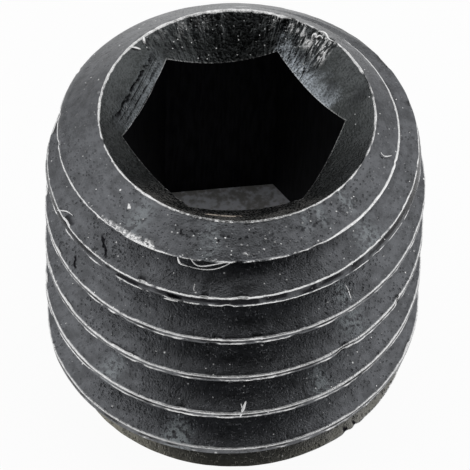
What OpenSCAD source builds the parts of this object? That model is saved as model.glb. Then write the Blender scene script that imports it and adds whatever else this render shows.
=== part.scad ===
// Hexagon socket set screw with a flat point, standing on its point.
// The axis is Z: the flat point lies on z = 0 and the socket opens upwards.
// Lengths are in millimetres and angles in degrees.

/* [Thread] */
// Major diameter, over the crests
thread_d = 8; // [6.5:0.5:12]
// Pitch, the rise of the right-hand thread in one turn
thread_pitch = 1.25; // [1:0.05:1.75]
// Angle between the two flanks of the groove
flank_angle = 60; // [50:1:65]
// Width of the flat on the crest
crest_w = 0.16; // [0.1:0.01:0.3]
// Radius of the rounded root
root_r = 0.18; // [0.1:0.01:0.22]
// Turn about the axis at which the groove leaves the point
thread_turn = 333; // [0:1:359]

/* [Body] */
// Length over all, from the point to the rim
screw_l = 8; // [7:0.5:16]
// Amount by which the crests at both ends fall short of the major radius
lead_drop = 0.15; // [0.05:0.01:0.3]
// Length over which the crests then grow to the major radius
lead_l = 1; // [0.5:0.1:1.5]
// Fall of the shoulder from the rim outwards, below level
shoulder_angle = 33; // [20:1:45]

/* [Point] */
// Diameter of the flat face at the point
point_d = 5.5; // [4:0.1:6]
// Rise of the chamfer round the point, above level
point_angle = 40; // [30:1:50]

/* [Socket] */
// Width of the hexagon across its flats
hex_w = 4; // [3:0.1:4.5]
// Depth of the hexagon's floor below the rim
hex_depth = 4.85; // [3:0.05:5.5]
// Turn of the hexagon's first corner about the axis
hex_turn = 6.4; // [0:0.1:59.9]
// Included angle of the countersink
countersink_angle = 105; // [90:1:120]
// Width of the countersink outside the hexagon's corners
countersink_w = 0.55; // [0.3:0.01:0.7]
// Width of the narrow land between the countersink and the shoulder
rim_w = 0.04; // [0.02:0.01:0.2]

/* [Hidden] */
black_steel = [0.23, 0.24, 0.25];

// Radii of the turned blank
thread_r = thread_d / 2;
lead_r = thread_r - lead_drop;
point_r = point_d / 2;
corner_r = hex_w / 2 / cos(30);
mouth_r = corner_r + countersink_w;
rim_r = mouth_r + rim_w;

// Heights of the two end cones
point_h = (lead_r - point_r) * tan(point_angle);
shoulder_h = (lead_r - rim_r) * tan(shoulder_angle);

// Height by which the socket's cutters stand above the rim
cut_over = 1;

// Groove between two crests: its flanks run on past the crests by a quarter of
// the crest's width on each side, so that one turn of the cutter clears the next
half_flank = flank_angle / 2;
groove_w = thread_pitch - crest_w;
outer_w = thread_pitch - crest_w / 2;
outer_r = thread_r + (outer_w - groove_w) / 2 / tan(half_flank);
root_centre_r = thread_r - groove_w / 2 / tan(half_flank) + root_r / sin(half_flank);
root_half_arc = 90 - half_flank;
root_sides = 3;

// Turns of the groove: it starts and ends clear of the blank
steps_per_turn = 60;
run_out_turns = 0.75;
groove_steps = ceil((screw_l / thread_pitch + 2 * run_out_turns) * steps_per_turn);

// Groove's section as [radius, height] points about its own mid-height
root_points = [
    for (k = [0:root_sides])
        let (a = root_half_arc * (1 - 2 * k / root_sides))
        [root_centre_r - root_r * cos(a), root_r * sin(a)]
];
groove_section = concat([[outer_r, -outer_w / 2], [outer_r, outer_w / 2]], root_points);
section_n = len(groove_section);

// Section at one step along the helix
function groove_ring(step) =
    let (turns = step / steps_per_turn - run_out_turns)
    let (a = thread_turn + 360 * turns)
    [for (p = groove_section) [p[0] * cos(a), p[0] * sin(a), p[1] + thread_pitch * turns]];

// Two triangles that join one side of a section to the next step
function groove_side(step, side) =
    let (a = step * section_n + side)
    let (b = step * section_n + (side + 1) % section_n)
    [[a, b + section_n, a + section_n], [a, b, b + section_n]];

// Helical groove, closed at both ends
module thread_groove() {
    first_cap = [for (side = [section_n - 1:-1:0]) side];
    last_cap = [for (side = [0:section_n - 1]) groove_steps * section_n + side];
    sides = [
        for (step = [0:groove_steps - 1], side = [0:section_n - 1])
            each groove_side(step, side)
    ];
    polyhedron(
        points = [for (step = [0:groove_steps]) each groove_ring(step)],
        faces = concat([first_cap], sides, [last_cap])
    );
}

// Turned blank: flat point, chamfer, thread length with tapered leads, shoulder
module blank() {
    rotate_extrude($fn = 180)
        polygon([
            [0, 0],
            [point_r, 0],
            [lead_r, point_h],
            [thread_r, point_h + lead_l],
            [thread_r, screw_l - shoulder_h - lead_l],
            [lead_r, screw_l - shoulder_h],
            [rim_r, screw_l],
            [0, screw_l],
        ]);
}

// Hexagon with a flat floor
module hex_hole() {
    translate([0, 0, screw_l - hex_depth])
        rotate([0, 0, hex_turn])
            cylinder(r = corner_r, h = hex_depth + cut_over, $fn = 6);
}

// Cone that leads a key into the hexagon
module countersink() {
    slope = tan(countersink_angle / 2);
    cone_h = mouth_r / slope;
    translate([0, 0, screw_l - cone_h])
        cylinder(r1 = 0, r2 = mouth_r + cut_over * slope, h = cone_h + cut_over, $fn = 180);
}

// The whole screw, one piece of blackened steel
module set_screw() {
    color(black_steel)
        difference() {
            blank();
            thread_groove();
            hex_hole();
            countersink();
        }
}

set_screw();
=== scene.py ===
"""Blackened hex socket set screw on a pale floor, seen from above the front.

The screw's mesh is built here column by column: every column is a half-plane through the axis, and its
points run from the middle of the flat point up the thread, over the rim, down the countersink and the
hexagon's wall to the middle of the socket's floor. Rows on the thread climb with the helix, and rings on
the socket's floor shrink towards its own middle.

Places on the screw are given by an angle from its front (the -Y side) towards +X, in degrees, and by a
height above the floor, in millimetres.
"""

import math

import bpy
import numpy as np
from mathutils import Euler, Matrix, Vector, noise


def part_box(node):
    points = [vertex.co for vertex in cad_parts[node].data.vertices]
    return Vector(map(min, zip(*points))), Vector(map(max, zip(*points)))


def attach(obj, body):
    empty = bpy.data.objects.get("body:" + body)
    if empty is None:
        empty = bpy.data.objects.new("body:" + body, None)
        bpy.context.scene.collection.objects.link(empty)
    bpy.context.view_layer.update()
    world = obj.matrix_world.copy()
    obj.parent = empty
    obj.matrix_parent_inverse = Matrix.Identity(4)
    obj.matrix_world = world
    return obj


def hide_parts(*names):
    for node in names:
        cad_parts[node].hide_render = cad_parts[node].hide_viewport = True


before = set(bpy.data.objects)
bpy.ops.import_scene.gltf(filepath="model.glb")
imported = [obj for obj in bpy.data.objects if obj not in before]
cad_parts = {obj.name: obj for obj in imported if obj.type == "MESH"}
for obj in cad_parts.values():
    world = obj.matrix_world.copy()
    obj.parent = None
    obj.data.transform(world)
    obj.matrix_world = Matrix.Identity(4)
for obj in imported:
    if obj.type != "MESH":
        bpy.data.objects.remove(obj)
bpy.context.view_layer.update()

MM = 0.001
TURN = 2 * math.pi
NODE = "set_screw"

# Sizes of the screw in millimetres and degrees, as in the CAD part
node_low, node_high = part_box(NODE)
THREAD_R = (node_high[0] - node_low[0]) / 2 / MM
LENGTH = (node_high[2] - node_low[2]) / MM
PITCH = 1.25
CREST_W = 0.16
ROOT_R = 0.18
HALF_FLANK = math.radians(30)
THREAD_TURN = math.radians(333)
LEAD_DROP = 0.15
LEAD_L = 1.0
POINT_R = 2.75
HEX_SIDES = 6
HEX_DEPTH = 4.85
CONE_HALF_ANGLE = math.radians(105 / 2)

# Sizes in which this one screw differs from the CAD part
TOP_LEAD_DROP = 0.25
TOP_LEAD_L = 1.2
HEX_W = 4.06
HEX_TURN = math.radians(8.4)
CORNER_R = HEX_W / 2 / math.cos(math.pi / HEX_SIDES)
MOUTH_R = 2.87
LAND_W = 0.02
RIM_R = MOUTH_R + LAND_W

# Faults of this one screw: uneven end faces, a socket off centre and a helix that climbs less near the rim
SHOULDER_ANGLE = 34.5
SHOULDER_TILT = 9
SHOULDER_FLATTEST_AT = 2
POINT_ANGLE = 37.6
POINT_TILT = 3.2
POINT_STEEPEST_AT = 90
SOCKET_OFFSET = np.array([-0.057, -0.05])
RUN_OUT_FROM = 7.88
RUN_OUT_SAG = 0.6

# Rolled crest: depth of the seam along its middle, and half width of its ragged lips
SEAM_DEPTH = 0.014
LIP_HALF_W = 0.035

# Worn rim: greatest width of its bright land, the wear that brings that width, and the crown's rise
WORN_LAND_W = 0.07
WORN_MOST = 0.5
CROWN_H = 0.012

# Mesh density
COLUMNS_PER_FLAT = 108
COLUMNS = HEX_SIDES * COLUMNS_PER_FLAT
CONE_ROWS = 22
WALL_ROWS = 2
FLOOR_RINGS = 5
POINT_RINGS = 2
SPARE_TURNS = 5
SHARP_ANGLE = math.radians(28)

# Rows of the thread, as heights from the crest's middle to one side
HALF_ROWS = [0.042, 0.072, 0.1, 0.15, 0.25, 0.36, 0.469, 0.545]

# Rows this near to the point or the rim join the ring there
END_MARGIN = 0.004

# How far the thread's form may stand outside the blank and still count as rolled
ROLLED_GAP = 0.05

# Soft edges of the fields on the thread, and how many times the distance from a lip counts on a flank
LEAD_SOFT = 0.04
SHOULDER_SOFT = 0.06
UPPER_FROM = -0.06
UPPER_FULL = -0.02
FLANK_COUNT = 2

# Relief and depth of a dent that count as 1 in their field
RELIEF_UNIT = 0.01
DENT_UNIT = 0.02

# Value of a distance field on surfaces that the thread doesn't reach
FAR = 0.6

# Dents: angle, height, size across, size along the axis, depth
DENTS = [
    (37, 4.27, 0.22, 0.10, 0.06),
    (61, 4.39, 0.08, 0.08, 0.05),
    (-17.5, 6.58, 0.16, 0.04, 0.07),
    (43, 0.80, 0.09, 0.08, 0.035),
    (47, 0.83, 0.07, 0.06, 0.03),
]

# Dark cracks and bright scratches: both ends as angle, height and radius, then the width
CRACKS = [
    ((-49.7, 6.82, 3.55), (-42.2, 6.64, 3.91), 0.045),
    ((-61.8, 5.42, 3.75), (-56.8, 5.34, 3.91), 0.04),
]
SCRATCHES = [
    ((-42.5, 7.84, 3.16), (-40.8, 7.77, 3.26), 0.05),
    ((40.8, 5.87, 3.58), (39.7, 5.68, 3.90), 0.03),
    ((-12.3, 6.87, 3.70), (-11.7, 6.78, 3.86), 0.025),
]

# Pale films of dirt: angle, height, size, strength
FILMS = [
    (38, 5.80, 0.16, 0.6),
    (43, 4.78, 0.28, 1.0),
    (39, 3.78, 0.24, 1.0),
    (30, 3.20, 0.18, 0.8),
    (-41, 2.95, 0.22, 0.5),
    (-16, 1.72, 0.24, 1.7),
    (-36, 7.75, 0.28, 0.35),
    (-8, 7.80, 0.26, 0.35),
    (47, 7.89, 0.14, 0.4),
    (35, 7.90, 0.14, 0.35),
    (28, 7.90, 0.12, 0.3),
    (49, 7.04, 0.3, 0.4),
]

# What changes round the screw: the level elsewhere, then stretches as first angle, last angle and level
EDGE_WEAR = 0.4, [
    (-100, -62, 0.9), (-62, -48, 0.45), (-20, -3, 0.2), (-3, 16, 0.45), (34, 132, 1.0), (138, 168, -1.0),
]
# Stretch where the shoulder's rounded edge has a broad band of wear and painted highlight
EDGE_WEAR_AND_HIGHLIGHT = 0.0, [(-47, -26, 1.0)]
RIM_WEAR = 0.56, [
    (-158, -128, 0.8), (-128, -85, 0.66), (158, 202, 1.0), (126, 158, 0.25), (116, 125, 0.65),
    (105, 115, 0.0), (86, 98, 0.6), (62, 84, 0.25), (-46, 22, 0.64),
]
TORN = 0.08, [(-170, -132, 0.5), (166, 190, 0.42), (134, 166, 1.0), (110, 134, 0.3)]
SCRAPED = 0.0, [(-136, -86, 0.3), (112, 132, 0.7), (132, 160, 1.0)]
LEAD_DULL = 0.0, [(102, 165, 1.0)]
CRACKED = 0.0, [(-134, -90, 1.0)]
# Stretch of the countersink's front that carries a painted warm glint
GLINT_STRETCH = 0.0, [(-17, 4, 1.0)]
BROWNED = 0.0, [(-46, 40, 1.0)]
PITTED = 0.0, [(-24, 12, 1.0), (12, 50, 0.7)]

# Share of a stretch's half length over which its level fades in and out
SOFT_END = 0.2

# Band of the shoulder that is pitted
PITTED_R = 3.22
PITTED_HALF_W = 0.11

# Slivers and burrs of bright steel that the tools left: thickness, then points as angle, height and radius
SLIVERS = {
    "sliver_lower": (0.08, [(3.5, 2.89, 4.0), (4.1, 2.99, 3.95), (4.7, 3.1, 3.9), (5.3, 3.25, 3.87)]),
    "sliver_lower_branch": (0.05, [(4.4, 3.03, 3.93), (4.0, 3.1, 3.9), (3.8, 3.17, 3.87)]),
    "sliver_left": (0.034, [(-68.1, 6.48, 3.97), (-66.4, 6.58, 3.9), (-64.4, 6.66, 3.82),
                            (-62.4, 6.66, 3.78)]),
    "sliver_right": (0.034, [(74.4, 7.90, 3.12), (73.4, 7.87, 3.17), (74.0, 7.83, 3.25),
                             (75.6, 7.80, 3.33)]),
    "sliver_shoulder": (0.034, [(-47.6, 7.58, 3.6), (-46.6, 7.55, 3.65), (-45.8, 7.51, 3.7)]),
    "burr_bar": (0.055, [(-17.8, 7.61, 3.72), (-17.4, 7.46, 3.72), (-16.4, 7.42, 3.72),
                         (-14.4, 7.4, 3.72)]),
    "burr_upper": (0.03, [(-13.7, 7.66, 3.7), (-12.7, 7.54, 3.72), (-10.4, 7.46, 3.72), (-5.6, 7.58, 3.7),
                          (-1.5, 7.66, 3.67)]),
    "burr_lower": (0.026, [(-14.6, 7.4, 3.72), (-11.0, 7.38, 3.72), (-7.2, 7.41, 3.72), (-3.4, 7.5, 3.7),
                           (-0.6, 7.64, 3.67)]),
    "burr_fold": (0.055, [(-20.6, 6.48, 3.98), (-18.4, 6.49, 3.98), (-16.2, 6.51, 3.98)]),
    "burr_crest": (0.1, [(60.4, 4.48, 3.99), (61.3, 4.51, 3.99), (62.2, 4.52, 3.98)]),
    "burr_back_upper": (0.11, [(-135.4, 8.0, 2.86), (-134.4, 7.97, 2.8), (-133.7, 7.93, 2.74)]),
    "burr_back_lower": (0.11, [(-127.8, 7.99, 2.84), (-129.0, 7.96, 2.78), (-130.4, 7.92, 2.71)]),
    "burr_rim": (0.07, [(144.8, 7.86, 2.65), (146.0, 7.92, 2.73), (145.0, 7.97, 2.8), (143.9, 7.9, 2.72),
                        (142.8, 7.98, 2.83), (141.0, 7.95, 2.78)]),
    "burr_rim_outer": (0.05, [(144.7, 8.0, 2.86), (142.5, 8.02, 2.9), (140.5, 8.02, 2.88),
                              (138.4, 7.98, 2.82), (136.1, 8.0, 2.86)]),
    "burr_rim_right": (0.06, [(134.2, 8.0, 2.88), (132.6, 8.0, 2.85), (131.0, 8.0, 2.87)]),
}

# Thickness of a sliver's ends, as a share of its middle's
SLIVER_TIP = 0.35

# Fields that the mesh carries for its materials
FIELDS = ("crest", "lip", "upper", "gap", "relief", "film", "edge", "wear_and_highlight", "rim", "torn", "depth",
          "inset", "scraped", "cracked", "glinting", "lead", "dull", "pitted", "browned")

# Parts of the skin, each with a material of its own
OUTSIDE, CONE, WALL, FLOOR = range(4)


def smooth_step(low, high, value):
    t = np.clip((value - low) / (high - low), 0, 1)
    return t * t * (3 - 2 * t)


def from_front(degrees):
    """Angle about the axis, in radians from +X, of an angle given from the front."""
    return np.radians(degrees - 90)


def on_screw(place):
    """Place given by angle, height and radius, in millimetres along the axes."""
    degrees, height, radius = place
    angle = from_front(degrees)
    return Vector((radius * math.cos(angle), radius * math.sin(angle), height))


def turn_between(angle, other):
    """Angle from one direction to another the short way round, in radians."""
    return np.abs((angle - other + math.pi) % TURN - math.pi)


def noise_field(x, y, z, size, seed):
    """Smooth noise from about -1 to 1 at places in millimetres, with features of a given size."""
    seed_shift = 17.3 * seed
    cells = np.stack([np.ravel(x), np.ravel(y), np.ravel(z)], 1) / size + seed_shift
    values = [noise.noise(cell) for cell in cells.tolist()]
    return np.reshape(values, np.shape(x))


def oval_field(angle, height, ovals):
    """Sum of soft ovals on the outside: angle, height, size across, size along the axis and strength."""
    total = np.zeros(np.shape(height))
    for oval_angle, oval_height, across_size, along_size, strength in ovals:
        across = turn_between(angle, from_front(oval_angle)) * THREAD_R / across_size
        along = (height - oval_height) / along_size
        total += strength * np.exp(-across ** 2 - along ** 2)
    return total


def around(angle, profile):
    """Level that changes round the screw, with soft ends to its stretches."""
    base, stretches = profile
    level = np.full(np.shape(angle), base)
    for first, last, other in stretches:
        half = math.radians(last - first) / 2
        away = turn_between(angle, from_front((first + last) / 2)) / half
        level += (other - level) * (1 - smooth_step(1 - SOFT_END, 1 + SOFT_END, away))
    return level


# Radii of the screw's outside

def thread_radius(from_crest):
    """Radius of the rolled thread at a height from the nearest crest's middle."""
    away = np.abs(from_crest)
    tan_flank = math.tan(HALF_FLANK)
    flank = THREAD_R - np.maximum(away - CREST_W / 2, 0) / tan_flank
    root_centre = THREAD_R - (PITCH - CREST_W) / 2 / tan_flank + ROOT_R / math.sin(HALF_FLANK)
    from_root = np.minimum(PITCH / 2 - away, ROOT_R)
    root = root_centre - np.sqrt(ROOT_R ** 2 - from_root ** 2)
    in_root = from_root < ROOT_R * math.cos(HALF_FLANK)
    return np.where(in_root, root, flank)


def end_slopes(angle):
    """Slopes of the shoulder and of the point's chamfer, both uneven round the screw."""
    shoulder = SHOULDER_ANGLE - SHOULDER_TILT * np.cos(angle - from_front(SHOULDER_FLATTEST_AT))
    point = POINT_ANGLE + POINT_TILT * np.cos(angle - from_front(POINT_STEEPEST_AT))
    return np.tan(np.radians(shoulder)), np.tan(np.radians(point))


def blank_radius(height, angle):
    """Radius of the blank that the thread was rolled on: chamfer, leads and shoulder."""
    shoulder_slope, point_slope = end_slopes(angle)
    below_rim = LENGTH - height
    low_r = THREAD_R - LEAD_DROP
    top_r = THREAD_R - TOP_LEAD_DROP
    point_h = (low_r - POINT_R) * point_slope
    shoulder_h = (top_r - RIM_R) * shoulder_slope
    chamfer = POINT_R + height / point_slope
    shoulder = RIM_R + below_rim / shoulder_slope
    low_lead = low_r + LEAD_DROP * (height - point_h) / LEAD_L
    top_lead = top_r + TOP_LEAD_DROP * (below_rim - shoulder_h) / TOP_LEAD_L
    return np.minimum.reduce([chamfer, shoulder, low_lead, top_lead, np.full_like(height, THREAD_R)])


# Columns

def column_angles():
    """Angles of the columns, which meet the hexagon's corners."""
    turns = HEX_TURN + np.arange(HEX_SIDES) * TURN / HEX_SIDES
    corners = SOCKET_OFFSET + CORNER_R * np.stack([np.cos(turns), np.sin(turns)], 1)
    at = np.unwrap(np.arctan2(corners[:, 1], corners[:, 0]))
    ends = np.append(at, at[0] + TURN)
    steps = np.arange(COLUMNS) / COLUMNS_PER_FLAT
    return np.interp(steps, np.arange(HEX_SIDES + 1), ends)


def hex_radius(angles):
    """Distance from the screw's axis to the hexagon's wall."""
    least_facing = 0.05
    flats = HEX_TURN + (np.arange(HEX_SIDES) + 0.5) * TURN / HEX_SIDES
    normals = np.stack([np.cos(flats), np.sin(flats)], 1)
    reach = HEX_W / 2 + normals @ SOCKET_OFFSET
    facing = np.stack([np.cos(angles), np.sin(angles)], 1) @ normals.T
    distance = np.where(facing > least_facing, reach / np.maximum(facing, least_facing), np.inf)
    return distance.min(axis=1)


class ColumnMesh:
    """Points in columns about the axis, joined into one closed skin from the bottom up."""

    def __init__(self, angles):
        self.angles = angles
        self.count = 0
        self.points = []
        self.fields = {name: [] for name in FIELDS}
        self.faces = []
        self.zones = []

    def add_points(self, x, y, z, **fields):
        """Adds an array of points and returns their numbers, in an array of the same shape."""
        x, y, z = np.broadcast_arrays(x, y, z)
        self.points.append(np.stack([x.ravel(), y.ravel(), z.ravel()], 1))
        for name, store in self.fields.items():
            store.append(np.broadcast_to(fields.get(name, 0.0), x.shape).ravel())
        first = self.count
        self.count += x.size
        return np.arange(first, self.count).reshape(x.shape)

    def add_ring(self, radius, height, **fields):
        """Adds one point to each column."""
        x = radius * np.cos(self.angles)
        y = radius * np.sin(self.angles)
        return self.add_points(x, y, height, **fields)

    def add_face(self, corners, zone, split_first=False):
        """Adds a face without repeated corners, cut in two from its first corner if asked."""
        kept = [int(c) for n, c in enumerate(corners) if c != corners[n - 1]]
        if len(kept) < 3:
            return
        parts = [tuple(kept)]
        if len(kept) == 4 and split_first:
            parts = [(kept[0], kept[1], kept[2]), (kept[0], kept[2], kept[3])]
        self.faces.extend(parts)
        self.zones.extend([zone] * len(parts))

    def join(self, lower, upper, zone):
        """Faces between one ring and the next."""
        for i in range(COLUMNS):
            j = (i + 1) % COLUMNS
            self.add_face((lower[i], lower[j], upper[j], upper[i]), zone)

    def fan(self, ring, middle, zone, facing_up):
        """Faces between a ring and the point in its middle."""
        for i in range(COLUMNS):
            j = (i + 1) % COLUMNS
            corners = (ring[i], ring[j], middle) if facing_up else (ring[j], ring[i], middle)
            self.add_face(corners, zone)

    def build(self, name):
        """Mesh in metres, with the fields as its attributes."""
        data = bpy.data.meshes.new(name)
        data.from_pydata((np.concatenate(self.points) * MM).tolist(), [], self.faces)
        data.polygons.foreach_set("material_index", self.zones)
        for field, store in self.fields.items():
            values = np.concatenate(store).astype(np.float32)
            data.attributes.new(field, "FLOAT", "POINT").data.foreach_set("value", values)
        data.shade_smooth()
        return data


# The outside

def run_out(crest):
    """Height of a crest on the helix, which climbs less where the thread runs out at the top."""
    return crest - RUN_OUT_SAG * np.maximum(crest - RUN_OUT_FROM, 0)


def helix_rows(angles):
    """Crest height, offset from it and scale of that offset, for the thread's rows in every column."""
    offsets = np.array([-PITCH / 2] + [-t for t in reversed(HALF_ROWS)] + [0.0] + HALF_ROWS)
    lowest = PITCH * (angles - THREAD_TURN) / TURN + PITCH / 2
    first = math.floor(-lowest.max() / PITCH) - 1
    crests = (first + np.arange(math.ceil(LENGTH / PITCH) + SPARE_TURNS)) * PITCH
    crest = np.repeat(crests, len(offsets))[:, None] + lowest
    offset = np.tile(offsets, len(crests))[:, None]
    neighbour = crest + np.where(offset > 0, PITCH, -PITCH)
    scale = np.abs(run_out(neighbour) - run_out(crest)) / PITCH
    return run_out(crest), offset, scale, len(offsets)


def snap_edges(height, crest_height, scale, angles):
    """Moves the nearest row onto each edge where a flank meets the blank's own surface."""
    gap = thread_radius((height - crest_height) / scale) - blank_radius(height, angles)
    on_edge = np.zeros(height.shape, bool)
    rows, columns = np.nonzero((gap[:-1] < 0) != (gap[1:] < 0))
    share = gap[rows, columns] / (gap[rows, columns] - gap[rows + 1, columns])
    edge = height[rows, columns] + share * (height[rows + 1, columns] - height[rows, columns])
    nearest = rows + (share > 0.5)
    height[nearest, columns] = edge
    on_edge[nearest, columns] = True
    return on_edge


def outside_relief(x, y, z, lip):
    """How far the outside stands proud of its true form, in millimetres."""
    wave = 0.005 * noise_field(x, y, z, 0.7, seed=1)
    grain = 0.0012 * noise_field(x, y, z, 0.14, seed=2)
    ragged = 0.007 * lip * noise_field(x, y, z, 0.3, seed=3)
    chips = 0.03 * lip * smooth_step(0.35, 0.55, noise_field(x, y, z, 0.4, seed=4))
    return wave + grain + ragged - chips


def thread_surface(angles, height, offset):
    """Radius of the thread's rows, and the fields that the materials read there."""
    angle = np.broadcast_to(angles, height.shape)
    thread_r = thread_radius(offset)
    blank_r = blank_radius(height, angle)
    gap = thread_r - blank_r
    rolled = gap < ROLLED_GAP
    radius = np.minimum(thread_r, blank_r)
    half_flat = CREST_W / 2 + np.maximum(THREAD_R - blank_r, 0) * math.tan(HALF_FLANK)
    from_lip = np.abs(offset) - half_flat
    lip = np.exp(-(from_lip / LIP_HALF_W) ** 2) * rolled
    seam = SEAM_DEPTH * np.clip(1 - (offset / half_flat) ** 2, 0, 1) * rolled
    dents = oval_field(angle, height, DENTS)
    films = [(at, film_z, size, size, strength) for at, film_z, size, strength in FILMS]
    lead = smooth_step(0.0, LEAD_SOFT, THREAD_R - blank_r) * (height > LENGTH / 2)
    shoulder_z = LENGTH - (THREAD_R - TOP_LEAD_DROP - RIM_R) * end_slopes(angles)[0]
    on_shoulder = smooth_step(-SHOULDER_SOFT, 0.0, height - shoulder_z) * (offset < 0)
    pitted_band = np.exp(-((radius - PITTED_R) / PITTED_HALF_W) ** 2) * (height > shoulder_z)
    relief = outside_relief(radius * np.cos(angle), radius * np.sin(angle), height, lip)
    fields = {
        "crest": np.abs(offset),
        "lip": np.where(from_lip > 0, FLANK_COUNT * from_lip, from_lip),
        "upper": smooth_step(UPPER_FROM, UPPER_FULL, offset),
        "gap": np.clip(gap, -FAR, FAR),
        "relief": np.clip(relief / RELIEF_UNIT, -1, 1) - dents / DENT_UNIT,
        "film": oval_field(angle, height, films),
        "lead": lead,
        "dull": lead * around(angles, LEAD_DULL),
        "edge": on_shoulder * around(angles, EDGE_WEAR),
        "wear_and_highlight": np.broadcast_to(around(angles, EDGE_WEAR_AND_HIGHLIGHT), height.shape),
        "pitted": around(angles, PITTED) * pitted_band,
    }
    return radius + relief - seam - dents, fields


def join_turns(mesh, index, on_edge, per_pitch):
    """Faces between the thread's rows; one turn joins the next at the last column."""
    last = len(index) - 1
    for row in range(last):
        for i in range(COLUMNS):
            j = (i + 1) % COLUMNS
            shift = per_pitch if j == 0 else 0
            low_next = min(row + shift, last)
            high_next = min(row + 1 + shift, last)
            along = on_edge[row, i] and on_edge[high_next, j]
            corners = (index[row, i], index[low_next, j], index[high_next, j], index[row + 1, i])
            mesh.add_face(corners, OUTSIDE, along)


def add_thread(mesh, point_ring, rim_ring):
    """Helical rows between the point's edge and the rim."""
    crest_height, offset, scale, per_pitch = helix_rows(mesh.angles)
    height = crest_height + offset * scale
    on_edge = snap_edges(height, crest_height, scale, mesh.angles)
    radius, fields = thread_surface(mesh.angles, height, (height - crest_height) / scale)
    inside = (height > END_MARGIN) & (height < LENGTH - END_MARGIN)
    index = np.where(height <= END_MARGIN, point_ring, rim_ring)
    inner_fields = {name: values[inside] for name, values in fields.items()}
    x = (radius * np.cos(mesh.angles))[inside]
    y = (radius * np.sin(mesh.angles))[inside]
    index[inside] = mesh.add_points(x, y, height[inside], **inner_fields)
    join_turns(mesh, index, on_edge, per_pitch)


def add_point_end(mesh):
    """Flat face of the point."""
    middle = mesh.add_points(0.0, 0.0, 0.0, lip=FAR, gap=FAR)
    rings = []
    for n in range(POINT_RINGS):
        radius = POINT_R * (n + 1) / POINT_RINGS
        rings.append(mesh.add_ring(radius, 0.0, lip=FAR, gap=FAR))
    mesh.fan(rings[0], middle, OUTSIDE, facing_up=False)
    for inner, outer in zip(rings, rings[1:]):
        mesh.join(inner, outer, OUTSIDE)
    return rings[-1]


def add_rim(mesh):
    """Ring where the shoulder ends, ragged where the punch tore the rim."""
    torn = around(mesh.angles, TORN)
    rim = around(mesh.angles, RIM_WEAR)
    x = RIM_R * np.cos(mesh.angles)
    y = RIM_R * np.sin(mesh.angles)
    ragged = (0.006 + 0.03 * torn) * noise_field(x, y, 0 * x, 0.16, seed=6)
    return mesh.add_ring(RIM_R + ragged, LENGTH - np.abs(ragged) / 2, lip=FAR, gap=FAR, rim=rim)


def cone_relief(angles, share):
    """How far the countersink stands proud of its cone, in millimetres."""
    torn = around(angles, TORN)
    slant = angles + 0.1 * share
    x = MOUTH_R * np.cos(slant)
    y = MOUTH_R * np.sin(slant)
    wave = 0.006 * noise_field(x, y, 0.8 * share, 0.5, seed=7)
    tears = 0.009 * torn * noise_field(x, y, 0.4 * share, 0.08, seed=8)
    pits = 0.011 * torn * noise_field(x, y, 0.9 * share, 0.12, seed=9)
    return (wave + tears + pits) * (1 - smooth_step(0.9, 1.0, share))


def add_cone(mesh, rim_ring, wall_r, cone_end):
    """Crown of the rim and the countersink, down to the hexagon's edge."""
    fields = {
        "torn": around(mesh.angles, TORN),
        "rim": around(mesh.angles, RIM_WEAR),
        "scraped": around(mesh.angles, SCRAPED),
        "cracked": around(mesh.angles, CRACKED),
        "glinting": around(mesh.angles, GLINT_STRETCH),
        "browned": around(mesh.angles, BROWNED),
        "lip": FAR,
        "gap": FAR,
    }
    x = MOUTH_R * np.cos(mesh.angles)
    y = MOUTH_R * np.sin(mesh.angles)
    worn = np.clip((fields["rim"] - RIM_WEAR[0]) / WORN_MOST, 0, 1)
    mouth_r = MOUTH_R - WORN_LAND_W * worn * (0.75 + 0.6 * noise_field(x, y, 0 * x, 0.15, seed=11))
    crown_r = (RIM_R + mouth_r) / 2
    ragged = (0.004 + 0.022 * fields["torn"]) * noise_field(x, y, 0 * x, 0.14, seed=10)
    crown = mesh.add_ring(crown_r + ragged, LENGTH + CROWN_H + ragged, inset=FAR, **fields)
    mesh.join(rim_ring, crown, OUTSIDE)
    previous = crown
    for n in range(CONE_ROWS + 1):
        share = np.full(COLUMNS, n / CONE_ROWS)
        relief = cone_relief(mesh.angles, share)
        inset = (mouth_r - wall_r) * (1 - share)
        radius = wall_r + inset - relief * math.cos(CONE_HALF_ANGLE)
        height = LENGTH + (cone_end - LENGTH) * share + relief * math.sin(CONE_HALF_ANGLE)
        ring = mesh.add_ring(radius, height, relief=relief / RELIEF_UNIT, depth=share, inset=inset,
                             **fields)
        mesh.join(previous, ring, CONE)
        previous = ring
    return previous


def add_socket(mesh, rim_ring):
    """Countersink, hexagon's wall and floor."""
    wall_r = hex_radius(mesh.angles)
    cone_end = LENGTH - (MOUTH_R - wall_r) / math.tan(CONE_HALF_ANGLE)
    floor_z = LENGTH - HEX_DEPTH
    previous = add_cone(mesh, rim_ring, wall_r, cone_end)
    for n in range(1, WALL_ROWS + 1):
        ring = mesh.add_ring(wall_r, cone_end + (floor_z - cone_end) * n / WALL_ROWS)
        mesh.join(previous, ring, WALL)
        previous = ring
    wall_x = wall_r * np.cos(mesh.angles) - SOCKET_OFFSET[0]
    wall_y = wall_r * np.sin(mesh.angles) - SOCKET_OFFSET[1]
    for n in range(1, FLOOR_RINGS):
        share = 1 - n / FLOOR_RINGS
        x = SOCKET_OFFSET[0] + wall_x * share
        y = SOCKET_OFFSET[1] + wall_y * share
        ring = mesh.add_points(x, y, floor_z)
        mesh.join(previous, ring, FLOOR)
        previous = ring
    middle = mesh.add_points(SOCKET_OFFSET[0], SOCKET_OFFSET[1], floor_z)
    mesh.fan(previous, middle, FLOOR, facing_up=True)


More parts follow.
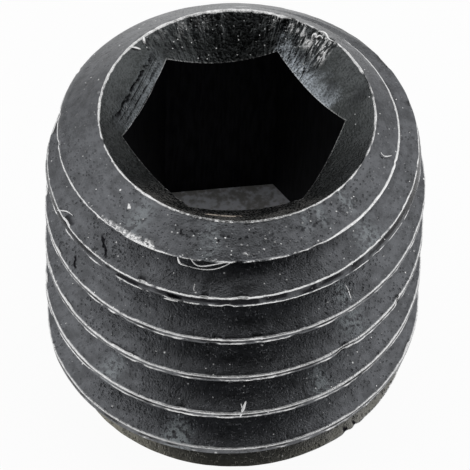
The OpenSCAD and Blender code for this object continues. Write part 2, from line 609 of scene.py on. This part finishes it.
def make_screw():
    """The whole screw, one closed skin."""
    mesh = ColumnMesh(column_angles())
    point_ring = add_point_end(mesh)
    rim_ring = add_rim(mesh)
    add_thread(mesh, point_ring, rim_ring)
    add_socket(mesh, rim_ring)
    data = mesh.build("set_screw_skin")
    data.set_sharp_from_angle(angle=SHARP_ANGLE)
    screw = bpy.data.objects.new("set_screw_skin", data)
    bpy.context.collection.objects.link(screw)
    for material in (black_oxide_and_painted_light(), torn_cone(), socket_wall(), socket_floor()):
        data.materials.append(material)
    return screw


def make_sliver(name, thickness, route, material):
    """Thin round strip that tapers to both ends."""
    curve = bpy.data.curves.new(name, "CURVE")
    curve.dimensions = "3D"
    curve.bevel_depth = thickness / 2 * MM
    curve.bevel_resolution = 1
    curve.use_fill_caps = True
    spline = curve.splines.new("NURBS")
    spline.points.add(len(route) - 1)
    spline.use_endpoint_u = True
    spline.order_u = 3
    for n, place in enumerate(route):
        spline.points[n].co = (*(on_screw(place) * MM), 1)
        spline.points[n].radius = SLIVER_TIP if n in (0, len(route) - 1) else 1.0
    shape = bpy.data.objects.new(name, curve)
    bpy.context.collection.objects.link(shape)
    data = bpy.data.meshes.new_from_object(shape.evaluated_get(bpy.context.evaluated_depsgraph_get()))
    bpy.data.objects.remove(shape)
    data.name = name
    data.materials.clear()
    data.materials.append(material)
    sliver = bpy.data.objects.new(name, data)
    bpy.context.collection.objects.link(sliver)
    return sliver


# Materials

class Nodes:
    """Adds nodes to one tree. Methods take sockets or plain values and return an output socket."""

    def __init__(self, tree):
        self.tree = tree

    def add(self, kind, **settings):
        node = self.tree.nodes.new(kind)
        for name, value in settings.items():
            setattr(node, name, value)
        return node

    def plug(self, socket, value):
        if isinstance(value, bpy.types.NodeSocket):
            self.tree.links.new(value, socket)
        else:
            socket.default_value = value

    def math(self, operation, first, second=0.0):
        node = self.add("ShaderNodeMath", operation=operation)
        self.plug(node.inputs[0], first)
        self.plug(node.inputs[1], second)
        return node.outputs[0]

    def plus(self, first, second):
        return self.math("ADD", first, second)

    def times(self, first, *others):
        for other in others:
            first = self.math("MULTIPLY", first, other)
        return first

    def weighted(self, *terms):
        """Sum of (weight, socket) terms."""
        total = 0.0
        for weight, socket in terms:
            total = self.plus(self.times(socket, weight), total)
        return total

    def highest(self, first, *others):
        for other in others:
            first = self.math("MAXIMUM", first, other)
        return first

    def vector(self, operation, first, second=(0, 0, 0)):
        node = self.add("ShaderNodeVectorMath", operation=operation)
        self.plug(node.inputs[0], first)
        self.plug(node.inputs[1], second)
        return node.outputs["Value" if operation == "DOT_PRODUCT" else "Vector"]

    def ramp(self, value, low, high, first=0.0, last=1.0):
        """Smooth step from one level to another."""
        node = self.add("ShaderNodeMapRange", interpolation_type="SMOOTHSTEP")
        for name, setting in zip(("Value", "From Min", "From Max", "To Min", "To Max"),
                                 (value, low, high, first, last)):
            self.plug(node.inputs[name], setting)
        return node.outputs["Result"]

    def mix(self, share, first, second):
        node = self.add("ShaderNodeMix", data_type="RGBA")
        self.plug(node.inputs["Factor"], share)
        self.plug(node.inputs[6], first)
        self.plug(node.inputs[7], second)
        return node.outputs[2]

    def noise(self, place, per_mm, detail=3.0):
        node = self.add("ShaderNodeTexNoise")
        self.plug(node.inputs["Vector"], place)
        self.plug(node.inputs["Scale"], per_mm)
        self.plug(node.inputs["Detail"], detail)
        return node.outputs[0]

    def centred(self, value, width):
        """Noise spread evenly about zero, over a width."""
        return self.times(self.math("SUBTRACT", value, 0.5), width)

    def dots(self, place, per_mm, size, rarity):
        """Round dots in some cells only: size is a share of a cell, rarity the share left out."""
        node = self.add("ShaderNodeTexVoronoi")
        self.plug(node.inputs["Vector"], place)
        self.plug(node.inputs["Scale"], per_mm)
        near = self.ramp(node.outputs["Distance"], size * 0.5, size, 1.0, 0.0)
        pick = self.add("ShaderNodeSeparateColor")
        self.plug(pick.inputs[0], node.outputs["Color"])
        return self.times(near, self.math("GREATER_THAN", pick.outputs[0], rarity))

    def field(self, name):
        """Field that the mesh carries."""
        return self.add("ShaderNodeAttribute", attribute_name=name).outputs["Fac"]

    def place(self):
        """Place on the object in millimetres."""
        coordinates = self.add("ShaderNodeTexCoord").outputs["Object"]
        return self.vector("MULTIPLY", coordinates, (1 / MM, 1 / MM, 1 / MM))

    def along_axis(self, place, rise=0.25):
        """Place that changes little with height, so that noise there draws striations down a flank."""
        outward = self.vector("NORMALIZE", self.vector("MULTIPLY", place, (1, 1, 0)))
        lift = self.vector("MULTIPLY", place, (0, 0, rise))
        return self.vector("ADD", self.vector("MULTIPLY", outward, (THREAD_R, THREAD_R, 0)), lift)

    def along_turn(self, place, turn=0.15):
        """Place that changes little round the axis, so that noise there draws rings."""
        apart = self.add("ShaderNodeSeparateXYZ")
        self.plug(apart.inputs[0], place)
        flat = self.add("ShaderNodeVectorMath", operation="LENGTH")
        self.plug(flat.inputs[0], self.vector("MULTIPLY", place, (1, 1, 0)))
        joined = self.add("ShaderNodeCombineXYZ")
        self.plug(joined.inputs["X"], flat.outputs["Value"])
        self.plug(joined.inputs["Y"], self.times(apart.outputs["X"], turn))
        self.plug(joined.inputs["Z"], self.times(apart.outputs["Y"], turn))
        return joined.outputs[0]

    def shake(self, place, per_mm=6.0, reach=0.1):
        """Place with a small uneven shift, which frays what is drawn with straight edges."""
        node = self.add("ShaderNodeTexNoise")
        self.plug(node.inputs["Vector"], place)
        self.plug(node.inputs["Scale"], per_mm)
        shift = self.vector("SUBTRACT", node.outputs["Color"], (0.5, 0.5, 0.5))
        return self.vector("ADD", place, self.vector("MULTIPLY", shift, (reach, reach, reach)))

    def height(self, place):
        node = self.add("ShaderNodeSeparateXYZ")
        self.plug(node.inputs[0], place)
        return node.outputs["Z"]

    def line(self, place, first, last, width, depth=0.4):
        """Thin line on the skin between two places."""
        start = on_screw(first)
        end = on_screw(last)
        middle = (start + end) / 2
        along = (end - start).normalized()
        outward = Vector((middle.x, middle.y, 0)).normalized()
        across = along.cross(outward).normalized()
        reach = (end - start).length / 2
        offset = self.vector("SUBTRACT", place, middle)
        mask = 1.0
        for direction, limit in ((across, width / 2), (along, reach), (outward, depth)):
            away = self.math("ABSOLUTE", self.vector("DOT_PRODUCT", offset, direction))
            mask = self.times(self.ramp(away, limit * 0.6, limit, 1.0, 0.0), mask)
        return mask

    def bump(self, height_mm):
        node = self.add("ShaderNodeBump")
        self.plug(node.inputs["Distance"], MM)
        self.plug(node.inputs["Height"], height_mm)
        return node.outputs["Normal"]


def new_material(name, metallic):
    material = bpy.data.materials.new(name)
    material.use_nodes = True
    shader = material.node_tree.nodes["Principled BSDF"]
    shader.inputs["Metallic"].default_value = metallic
    return material, Nodes(material.node_tree), shader


# Colours
OXIDE_DARK = (0.096, 0.099, 0.105, 1)
OXIDE_LIGHT = (0.158, 0.163, 0.174, 1)
CONE_DARK = (0.05, 0.054, 0.054, 1)
CONE_LIGHT = (0.09, 0.096, 0.098, 1)
# Wall colours: dark oxide darkened further into painted shade
WALL_DARK = (0.008, 0.008, 0.01, 1)
WALL_LIGHT = (0.022, 0.022, 0.026, 1)
# Pale colours of the socket's floor, which paint the light falling into the socket
SOCKET_FLOOR_DARK = (0.4, 0.39, 0.38, 1)
SOCKET_FLOOR_LIGHT = (0.86, 0.88, 0.93, 1)
SLIVER_DARK = (0.85, 0.85, 0.85, 1)
SLIVER_LIGHT = (0.98, 0.98, 0.98, 1)
STEEL = (0.96, 0.96, 0.96, 1)
BARE = (0.42, 0.46, 0.5, 1)
FILM = (0.4, 0.44, 0.46, 1)
# Lighter warm colour that paints light onto the chamfer round the point
WARM_PAINTED_LIGHT = (0.36, 0.34, 0.27, 1)
# Warm colour of the painted glint on the countersink's front
GLINT_COLOUR = (0.48, 0.42, 0.36, 1)
BROWN = (0.085, 0.079, 0.073, 1)
# Near black of pits and cracks, also used as painted shade in hollows and the thread's roots
PIT_AND_SHADE = (0.012, 0.012, 0.014, 1)
STAGE_PALE = (0.9, 0.9, 0.9, 1)

# Dullest brightness of a worn edge between its glints
DULL_EDGE = 0.8

# Bright lines: half widths on a lip and on a faint or worn edge, and depths below the rim's height
LIP_LINE_W = 0.034
FAINT_EDGE_W = 0.05
WORN_EDGE_W = 0.11
RIM_LINE_BEGINS = 0.014
RIM_LINE_FULL = 0.004

# Crack, in millimetres from the hexagon's edge, and painted glint line, in shares of the countersink's
# depth
CRACK_AT = 0.3
CRACK_HALF_W = 0.06
GLINT_AT = 0.45
GLINT_HALF_W = 0.1

# Heights at which the painted warm light round the point is full and gone
WARM_LIGHT_FULL = 0.5
WARM_LIGHT_GONE = 1.3


def sparkle(nodes, place):
    """Uneven brightness of worn edges, which glint in places."""
    return nodes.ramp(nodes.noise(place, 12.0, 2.0), 0.4, 0.58, DULL_EDGE, 1.0)


def crest_lines(nodes, place):
    """Bright broken lines along both lips of the crest, and the dark seam that opens between them."""
    lip = nodes.field("lip")
    upper = nodes.field("upper")
    lead = nodes.field("lead")
    on_crest = nodes.times(nodes.ramp(nodes.field("crest"), 0.22, 0.28, 1.0, 0.0),
                           nodes.ramp(nodes.field("gap"), 0.17, 0.22, 1.0, 0.0))
    slow = nodes.centred(nodes.noise(place, 2.4), 0.04)
    quick = nodes.centred(nodes.noise(place, 7.0), 0.04)
    away = nodes.plus(nodes.plus(lip, 0.014), nodes.plus(slow, quick))
    low_lip = nodes.times(nodes.ramp(nodes.height(place), 0.5, 6.0, 1.0, 0.0), upper)
    top_lip = nodes.times(lead, upper)
    width = nodes.weighted((0.018, upper), (-0.02, lead), (0.012, low_lip), (1.0, LIP_LINE_W))
    thin = nodes.ramp(nodes.math("ABSOLUTE", away), 0.014, width, 1.0, 0.0)
    whole = nodes.weighted((1.0, nodes.noise(place, 2.7)), (0.32, upper), (0.1, low_lip),
                           (0.14, lead), (-0.26, top_lip), (-0.4, nodes.field("dull")))
    bright = nodes.times(thin, nodes.ramp(whole, 0.54, 0.66))
    open_seam = nodes.ramp(nodes.noise(place, 1.3), 0.46, 0.58, 0.1, 1.0)
    seam = nodes.times(nodes.ramp(lip, -0.06, -0.03, 1.0, 0.0), open_seam)
    ragged = nodes.plus(lip, nodes.centred(nodes.noise(place, 5.0), 0.08))
    fold = nodes.times(nodes.ramp(ragged, -0.05, -0.03, 1.0, 0.0), top_lip)
    fold = nodes.times(fold, nodes.ramp(nodes.noise(place, 1.6), 0.38, 0.52, 0.35, 1.0))
    off_edge = nodes.ramp(nodes.field("edge"), 0.0, 0.05, 1.0, 0.0)
    dark = nodes.times(nodes.highest(seam, fold), off_edge)
    return nodes.times(bright, on_crest), nodes.times(dark, on_crest)


def edge_lines(nodes, place):
    """Bright worn line where the shoulder ends, widened in one place into wear with a painted broad
    highlight of the rounded edge, and the rim's line.
    """
    gap = nodes.plus(nodes.field("gap"), nodes.centred(nodes.noise(place, 6.0), 0.08))
    off_crest = nodes.times(nodes.ramp(nodes.field("crest"), 0.14, 0.2),
                            nodes.ramp(nodes.field("edge"), 0.0, 0.1))
    width = nodes.ramp(nodes.field("edge"), 0.4, 1.0, FAINT_EDGE_W, WORN_EDGE_W)
    core = nodes.times(width, 0.5)
    edge = nodes.times(nodes.ramp(nodes.math("ABSOLUTE", gap), core, width, 1.0, 0.0), off_crest)
    whole = nodes.weighted((1.0, nodes.noise(place, 3.0)), (0.34, nodes.field("edge")))
    edge = nodes.times(edge, nodes.ramp(whole, 0.54, 0.66))
    on_shoulder = nodes.times(nodes.ramp(gap, -0.01, 0.01), off_crest)
    # Painted highlight: a broad soft band of wear and highlight on the rounded edge
    near = nodes.times(nodes.ramp(gap, 0.05, 0.9, 1.0, 0.0), nodes.field("wear_and_highlight"))
    wear_and_highlight = nodes.ramp(nodes.plus(near, nodes.centred(nodes.noise(place, 9.0), 3.4)), 0.55, 0.95)
    wear_and_highlight = nodes.times(wear_and_highlight, nodes.ramp(nodes.noise(place, 13.0), 0.4, 0.5, 0.3, 1.0), on_shoulder)
    reach = nodes.plus(nodes.height(place), nodes.centred(nodes.noise(place, 6.0), 0.02))
    rim = nodes.ramp(reach, LENGTH - RIM_LINE_BEGINS, LENGTH - RIM_LINE_FULL)
    return nodes.highest(edge, wear_and_highlight, nodes.times(rim, broken_rim(nodes, place)))


def broken_rim(nodes, place):
    """Where the rim's bright line shows."""
    whole = nodes.weighted((1.0, nodes.noise(place, 3.0)), (0.5, nodes.field("rim")))
    return nodes.ramp(whole, 0.54, 0.7)


def oxide_color(nodes, place, blotch, grain):
    """Mottled tone of the oxide, with striations down the flanks and faint rings."""
    mottle = nodes.noise(place, 1.7, 4.0)
    streak = nodes.noise(nodes.along_axis(place), 22.0, 2.0)
    rings = nodes.noise(nodes.along_turn(place), 9.0, 3.0)
    tone = nodes.weighted((0.22, mottle), (0.3, blotch), (0.03, streak), (0.27, grain), (0.18, rings))
    return nodes.mix(nodes.ramp(tone, 0.41, 0.59), OXIDE_DARK, OXIDE_LIGHT)


def marks_and_painted_shade(nodes, place, pits, seam):
    """Pits and cracks, and painted shade in the hollows and the thread's roots, all almost black."""
    holes = nodes.ramp(nodes.noise(place, 9.0, 2.0), 0.36, 0.46, 1.0, 0.0)
    holes = nodes.times(holes, nodes.field("pitted"))
    # Painted shade: dents and chips darken where the relief sinks
    hollow_shade = nodes.ramp(nodes.field("relief"), -1.2, -0.5, 1.0, 0.0)
    # Painted shade: the thread's roots darken towards the middle of each groove
    root = nodes.times(nodes.ramp(nodes.field("crest"), 0.34, 0.6, 0.0, 0.55),
                       nodes.ramp(nodes.field("gap"), -0.3, -0.15, 1.0, 0.0))
    shaken = nodes.shake(place)
    cracks = [nodes.line(shaken, *crack) for crack in CRACKS]
    return nodes.highest(nodes.times(pits, 0.4), holes, hollow_shade, seam, root, *cracks)


def bright_marks(nodes, place, lines):
    """Worn edges with a painted highlight on part of the shoulder's edge, scratches and specks of bare
    steel.
    """
    shaken = nodes.shake(place)
    scratches = [nodes.line(shaken, *scratch) for scratch in SCRATCHES]
    worn = nodes.times(nodes.highest(lines, edge_lines(nodes, place), *scratches), sparkle(nodes, place))
    large_specks = nodes.dots(place, 3.0, 0.09, 0.6)
    small_specks = nodes.dots(place, 6.0, 0.12, 0.7)
    glints = nodes.times(nodes.dots(place, 9.0, 0.14, 0.5), 0.25)
    sparks = nodes.times(nodes.dots(place, 9.0, 0.25, 0.4), nodes.field("pitted"))
    return nodes.highest(worn, large_specks, small_specks, glints, sparks)


def black_oxide_and_painted_light():
    """Oxide skin of the thread and the shoulder: mottled, striated, pitted and worn along the edges, with
    painted shade in the roots and hollows, a painted highlight on part of the shoulder's edge and painted
    warm light round the point.
    """
    material, nodes, shader = new_material("black_oxide_and_painted_light", 1.0)
    place = nodes.place()
    blotch = nodes.noise(place, 5.0, 3.0)
    grain = nodes.noise(place, 32.0, 2.0)
    gritty = nodes.ramp(nodes.noise(place, 0.8, 2.0), 0.42, 0.62, 0.4, 1.0)
    film = nodes.times(nodes.field("film"), nodes.ramp(nodes.noise(place, 10.0, 4.0), 0.41, 0.55))
    # Painted light: the chamfer round the point is lighter and warmer towards the bottom
    painted_warm_light = nodes.ramp(nodes.height(place), WARM_LIGHT_FULL, WARM_LIGHT_GONE, 0.6, 0.0)
    pits = nodes.highest(nodes.dots(place, 7.0, 0.3, 0.5), nodes.dots(place, 15.0, 0.4, 0.5))
    pits = nodes.times(pits, gritty)
    lines, seam = crest_lines(nodes, place)
    bright = bright_marks(nodes, place, lines)
    color = nodes.mix(film, oxide_color(nodes, place, blotch, grain), FILM)
    color = nodes.mix(painted_warm_light, color, WARM_PAINTED_LIGHT)
    color = nodes.mix(marks_and_painted_shade(nodes, place, pits, seam), color, PIT_AND_SHADE)
    nodes.plug(shader.inputs["Base Color"], nodes.mix(bright, color, STEEL))
    matt = nodes.highest(film, nodes.times(bright, 0.22))
    nodes.plug(shader.inputs["Metallic"], nodes.ramp(matt, 0.0, 1.0, 1.0, 0.1))
    nodes.plug(shader.inputs["Roughness"], nodes.ramp(grain, 0.3, 0.7, 0.28, 0.42))
    grit = nodes.times(grain, gritty, nodes.ramp(nodes.field("gap"), 0.02, 0.1, 1.0, 0.5))
    relief = nodes.weighted((0.0135, grit), (0.012, blotch), (-0.01, pits), (0.008, bright))
    nodes.plug(shader.inputs["Normal"], nodes.bump(relief))
    return material


def scraped_strip(nodes, place, inset, grain):
    """Where the countersink is scraped bare beside the hexagon."""
    frayed = nodes.plus(inset, nodes.centred(nodes.noise(place, 5.0), 0.5))
    bare = nodes.times(nodes.ramp(frayed, 0.0, 0.5, 1.0, 0.0), nodes.field("scraped"))
    return nodes.times(bare, nodes.ramp(grain, 0.38, 0.58, 0.35, 1.0))


def torn_painted_shade(nodes, inset, torn, tears):
    """Painted shade in the hollows between the tears."""
    low = nodes.times(nodes.ramp(tears, 0.38, 0.48, 1.0, 0.0), nodes.ramp(torn, 0.1, 0.6, 0.0, 0.8))
    low = nodes.times(low, nodes.ramp(inset, 0.05, 0.3, 0.3, 1.0))
    return nodes.highest(low, nodes.ramp(nodes.field("relief"), -0.6, 0.0, 0.5, 0.0))


def torn_painted_highlights(nodes, place, inset, torn, tears):
    """Painted highlights on the ridges of the tears."""
    peaks = nodes.times(nodes.ramp(tears, 0.51, 0.57), nodes.ramp(torn, 0.3, 0.9))
    peaks = nodes.times(peaks, nodes.ramp(nodes.noise(place, 4.0), 0.38, 0.52))
    return nodes.times(peaks, nodes.ramp(inset, 0.3, 0.6, 0.0, 0.7))


def cone_bright_marks(nodes, place, grain, peaks):
    """Painted highlights on the tears' ridges, and worn bright steel on the rim's inner lip, the hexagon's
    edge and in specks.
    """
    lip = nodes.plus(nodes.field("depth"), nodes.centred(nodes.noise(place, 5.0), 0.06))
    lip = nodes.times(nodes.ramp(lip, 0.0, 0.025, 1.0, 0.0), broken_rim(nodes, place))
    edge = nodes.times(nodes.ramp(nodes.field("inset"), 0.0, 0.03, 0.5, 0.0), grain)
    worn = nodes.times(nodes.highest(peaks, lip, edge), sparkle(nodes, place))
    torn_specks = nodes.times(nodes.dots(place, 11.0, 0.2, 0.6), nodes.ramp(nodes.field("torn"), 0.3, 0.4))
    return nodes.highest(worn, torn_specks, nodes.dots(place, 4.0, 0.07, 0.6))


def torn_cone():
    """Oxide of the countersink: torn by the punch, scraped bare and cracked beside the hexagon, with
    painted shade and highlights on the tears and a painted warm glint at the front.
    """
    material, nodes, shader = new_material("countersink_oxide_and_painted_light", 1.0)
    place = nodes.place()
    mottle = nodes.noise(place, 2.2, 4.0)
    grain = nodes.noise(place, 22.0, 3.0)
    tears = nodes.noise(nodes.along_axis(place, 0.7), 12.0, 2.0)
    inset = nodes.field("inset")
    torn = nodes.field("torn")
    outer = nodes.ramp(nodes.field("depth"), 0.2, 0.6, 0.04, -0.06)
    tone = nodes.weighted((0.4, mottle), (0.6, grain), (1.0, outer))
    brown = nodes.times(nodes.field("browned"), nodes.ramp(tone, 0.42, 0.58, 0.15, 0.75))
    crack = hexagon_cracks(nodes, place, inset)
    painted_glint = painted_glint_line(nodes, place)
    bright = cone_bright_marks(nodes, place, grain, torn_painted_highlights(nodes, place, inset, torn, tears))
    color = nodes.mix(nodes.ramp(tone, 0.4, 0.6), CONE_DARK, CONE_LIGHT)
    color = nodes.mix(scraped_strip(nodes, place, inset, grain), color, BARE)
    color = nodes.mix(brown, color, BROWN)
    color = nodes.mix(nodes.highest(torn_painted_shade(nodes, inset, torn, tears), crack), color, PIT_AND_SHADE)
    # Painted glint: a warm matt line on the countersink's front
    color = nodes.mix(painted_glint, color, GLINT_COLOUR)
    nodes.plug(shader.inputs["Base Color"], nodes.mix(bright, color, STEEL))
    matt = nodes.highest(nodes.times(bright, 0.6), painted_glint, brown)
    nodes.plug(shader.inputs["Metallic"], nodes.ramp(matt, 0.0, 1.0, 1.0, 0.0))
    nodes.plug(shader.inputs["Roughness"], nodes.ramp(grain, 0.3, 0.7, 0.2, 0.34))
    rough = nodes.times(tears, torn)
    relief = nodes.weighted((0.014, grain), (0.02, mottle), (-0.02, crack), (0.016, rough))
    nodes.plug(shader.inputs["Normal"], nodes.bump(relief))
    return material


def hexagon_cracks(nodes, place, inset):
    """Dark cracks beside the hexagon's edge: a long one, and fine ones between it and the edge."""
    from_edge = nodes.plus(inset, nodes.centred(nodes.noise(place, 4.0), 0.24))
    away = nodes.math("ABSOLUTE", nodes.math("SUBTRACT", from_edge, CRACK_AT))
    main = nodes.ramp(away, 0.0, CRACK_HALF_W, 1.0, 0.0)
    main = nodes.times(main, nodes.ramp(nodes.noise(place, 6.0), 0.36, 0.5))
    lengthwise = nodes.add("ShaderNodeCombineXYZ")
    nodes.plug(lengthwise.inputs["X"], nodes.times(inset, 10.0))
    nodes.plug(lengthwise.inputs["Y"], nodes.times(nodes.height(place), 2.0))
    nodes.plug(lengthwise.inputs["Z"], nodes.times(from_edge, 2.0))
    fine = nodes.ramp(nodes.noise(lengthwise.outputs[0], 1.6, 3.0), 0.36, 0.5, 0.8, 0.0)
    fine = nodes.times(fine, nodes.ramp(from_edge, CRACK_AT, CRACK_AT + CRACK_HALF_W, 1.0, 0.0))
    return nodes.times(nodes.highest(main, fine), nodes.field("cracked"))


def painted_glint_line(nodes, place):
    """Painted warm glint along the front of the countersink."""
    away = nodes.math("ABSOLUTE", nodes.math("SUBTRACT", nodes.field("depth"), GLINT_AT))
    line = nodes.times(nodes.ramp(away, 0.02, GLINT_HALF_W, 1.0, 0.0), nodes.field("glinting"))
    return nodes.times(line, nodes.ramp(nodes.noise(place, 5.0), 0.36, 0.52))


def socket_wall():
    """Hexagon's wall: dark oxide, painted near black, far darker than the oxide outside, as painted shade
    in the socket.
    """
    material, nodes, shader = new_material("socket_wall_oxide_and_painted_shade", 1.0)
    place = nodes.place()
    streak = nodes.noise(nodes.along_axis(place), 7.0, 3.0)
    color = nodes.mix(nodes.ramp(streak, 0.35, 0.65), WALL_DARK, WALL_LIGHT)
    nodes.plug(shader.inputs["Base Color"], color)
    nodes.plug(shader.inputs["Roughness"], 0.55)
    nodes.plug(shader.inputs["Normal"], nodes.bump(nodes.times(streak, 0.01)))
    return material


def socket_floor():
    """Floor of the socket, rough, in a pale colour that paints the light falling through the opening."""
    material, nodes, shader = new_material("socket_floor_painted_light", 0.0)
    place = nodes.place()
    mottle = nodes.noise(place, 2.6, 4.0)
    grain = nodes.noise(place, 9.0, 3.0)
    tone = nodes.weighted((0.5, mottle), (0.5, grain))
    color = nodes.mix(nodes.ramp(tone, 0.4, 0.6), SOCKET_FLOOR_DARK, SOCKET_FLOOR_LIGHT)
    nodes.plug(shader.inputs["Base Color"], color)
    nodes.plug(shader.inputs["Roughness"], 0.6)
    nodes.plug(shader.inputs["Normal"], nodes.bump(nodes.weighted((0.03, mottle), (0.01, grain))))
    return material


def bright_steel():
    """Fresh steel of the slivers."""
    material, nodes, shader = new_material("bright_steel", 1.0)
    grain = nodes.noise(nodes.place(), 20.0, 2.0)
    nodes.plug(shader.inputs["Base Color"], nodes.mix(grain, SLIVER_DARK, SLIVER_LIGHT))
    nodes.plug(shader.inputs["Roughness"], nodes.ramp(grain, 0.3, 0.7, 0.35, 0.5))
    return material


# Stage: half the floor's width in metres, and the share of white in what the eye and reflections see of it
FLOOR_HALF = 2.0
FLOOR_WHITE_SHARE = 0.95


def floor_material():
    """Pale floor that shows white to the eye and in reflections, and still takes the screw's shadow."""
    material = bpy.data.materials.new("pale_floor")
    material.use_nodes = True
    material.node_tree.nodes.clear()
    nodes = Nodes(material.node_tree)
    path = nodes.add("ShaderNodeLightPath").outputs
    seen = nodes.highest(path["Is Camera Ray"], path["Is Glossy Ray"])
    diffuse = nodes.add("ShaderNodeBsdfDiffuse")
    diffuse.inputs["Color"].default_value = STAGE_PALE
    glow = nodes.add("ShaderNodeEmission")
    mix = nodes.add("ShaderNodeMixShader")
    nodes.plug(mix.inputs[0], nodes.times(seen, FLOOR_WHITE_SHARE))
    nodes.plug(mix.inputs[1], diffuse.outputs[0])
    nodes.plug(mix.inputs[2], glow.outputs[0])
    out = nodes.add("ShaderNodeOutputMaterial")
    nodes.plug(out.inputs["Surface"], mix.outputs[0])
    return material


def make_floor():
    data = bpy.data.meshes.new("floor")
    corners = [(-1, -1), (1, -1), (1, 1), (-1, 1)]
    data.from_pydata([(x * FLOOR_HALF, y * FLOOR_HALF, 0) for x, y in corners], [], [(0, 1, 2, 3)])
    floor = bpy.data.objects.new("floor", data)
    bpy.context.collection.objects.link(floor)
    data.materials.append(floor_material())


# Light: a bright tent, dim near the floor, and dark about one direction at the front
DARK_FROM = Vector((0, -0.82, 0.57))
DARK_BEGINS = 0.62
DARK_FULL = 0.82
LOW_BEGINS = 0.4
LOW_FULL = 0.05
LOW_STRENGTH = 0.3
TENT_STRENGTH = 1.05


def make_world():
    world = bpy.data.worlds.new("studio")
    bpy.context.scene.world = world
    world.use_nodes = True
    nodes = Nodes(world.node_tree)
    direction = nodes.add("ShaderNodeTexCoord").outputs["Generated"]
    facing_dark = nodes.vector("DOT_PRODUCT", direction, DARK_FROM)
    tent = nodes.ramp(facing_dark, DARK_BEGINS, DARK_FULL, 1.0, 0.0)
    low = nodes.ramp(nodes.height(direction), LOW_FULL, LOW_BEGINS, LOW_STRENGTH, TENT_STRENGTH)
    nodes.plug(world.node_tree.nodes["Background"].inputs["Color"], nodes.times(tent, low))


# Camera at the photograph's viewing angle: lengths in millimetres, the near limit of view in metres
CAMERA_ELEVATION = math.radians(51.05)
CAMERA_ROLL = math.radians(1.64)
CAMERA_DISTANCE = 156.9
CAMERA_TARGET = (0.027, 0.0, 4.005)
FOCAL_PIXELS = 7400.0
IMAGE_PIXELS = 470
SENSOR_MM = 36.0
CLIP_START = 0.01


def make_camera():
    data = bpy.data.cameras.new("camera")
    data.sensor_width = SENSOR_MM
    data.lens = FOCAL_PIXELS / IMAGE_PIXELS * SENSOR_MM
    data.clip_start = CLIP_START
    camera = bpy.data.objects.new("camera", data)
    bpy.context.collection.objects.link(camera)
    away = Vector((0, -math.cos(CAMERA_ELEVATION), math.sin(CAMERA_ELEVATION))) * CAMERA_DISTANCE
    place = (Vector(CAMERA_TARGET) + away) * MM
    tilt = Euler((math.pi / 2 - CAMERA_ELEVATION, 0, 0)).to_matrix().to_4x4()
    camera.matrix_world = Matrix.Translation(place) @ tilt @ Matrix.Rotation(CAMERA_ROLL, 4, "Z")
    bpy.context.scene.camera = camera


bpy.context.scene.view_settings.view_transform = "Standard"
make_camera()
make_world()
make_floor()

screw = make_screw()
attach(screw, "root")
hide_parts(NODE)

steel = bright_steel()
for sliver_name, (thickness, route) in SLIVERS.items():
    sliver = make_sliver(sliver_name, thickness, route, steel)
    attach(sliver, "root")
